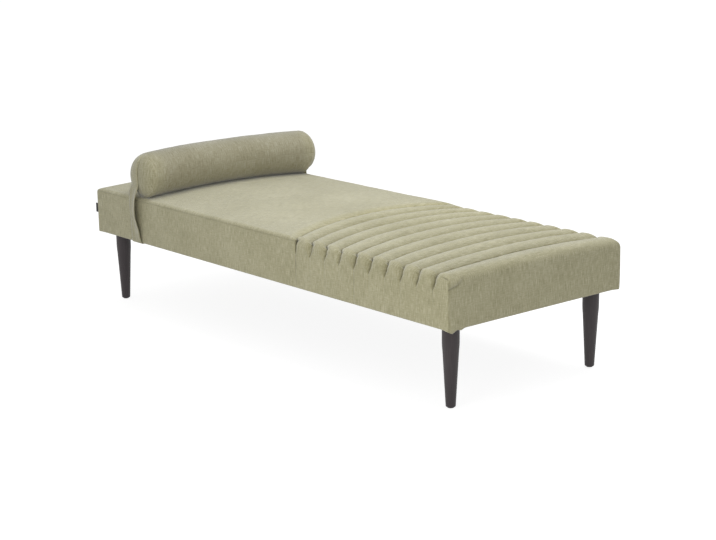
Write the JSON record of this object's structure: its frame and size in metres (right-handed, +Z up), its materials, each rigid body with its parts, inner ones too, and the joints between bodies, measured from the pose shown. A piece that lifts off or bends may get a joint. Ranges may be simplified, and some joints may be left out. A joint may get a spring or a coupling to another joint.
{
  "type": "chaise longue",
  "caption": "Armless upholstered daybed on turned dark wooden legs, with curved sewn channels at the foot end and a round bolster whose strap loops round the platform.",
  "frame": {"origin": "on the floor, under the middle of the platform", "axes": "+Z up, +X from the bolster's head end to the channelled foot end, +Y towards the long side that faces away in the picture"},
  "size_m": [1.9, 0.81, 0.5973],
  "materials": {
    "frame_timber": "planed softwood",
    "plywood": "sanded plywood",
    "foam": "open cell foam, matt",
    "upholstery_fabric": "woven, heathered, matt",
    "black_nonwoven": "thin nonwoven, matt",
    "stained_wood": "dark stain, satin",
    "glide_plastic": "moulded, matt",
    "zinc_steel": "zinc plated"
  },
  "bodies": {
    "platform": {"side_rail_near": "frame_timber", "side_rail_far": "frame_timber", "head_rail": "frame_timber", "foot_rail": "frame_timber", "cross_rail_1": "frame_timber", "cross_rail_2": "frame_timber", "cross_rail_3": "frame_timber", "corner_block_head_near": "frame_timber", "corner_block_head_far": "frame_timber", "corner_block_foot_near": "frame_timber", "corner_block_foot_far": "frame_timber", "deck_board": "plywood", "side_padding_near": "foam", "side_padding_far": "foam", "head_padding": "foam", "foot_padding": "foam", "seat_foam": "foam", "channelled_foam": "foam", "plain_cover": "upholstery_fabric", "channelled_cover": "upholstery_fabric", "dust_cloth": "black_nonwoven", "leg_head_near": "stained_wood", "leg_head_far": "stained_wood", "leg_foot_near": "stained_wood", "leg_foot_far": "stained_wood", "leg_glides": "glide_plastic", "hanger_bolts": "zinc_steel", "tee_nuts": "zinc_steel"},
    "bolster": {"bolster_core": "foam", "bolster_cover": "upholstery_fabric", "bolster_end_near": "upholstery_fabric", "bolster_end_far": "upholstery_fabric", "bolster_strap": "upholstery_fabric"}
  },
  "joints": [
    {"name": "bolster_slide", "type": "slide", "parent": "platform", "child": "bolster", "axis": [1, 0, 0], "range_m": [-0.14, 1.5]}
  ]
}
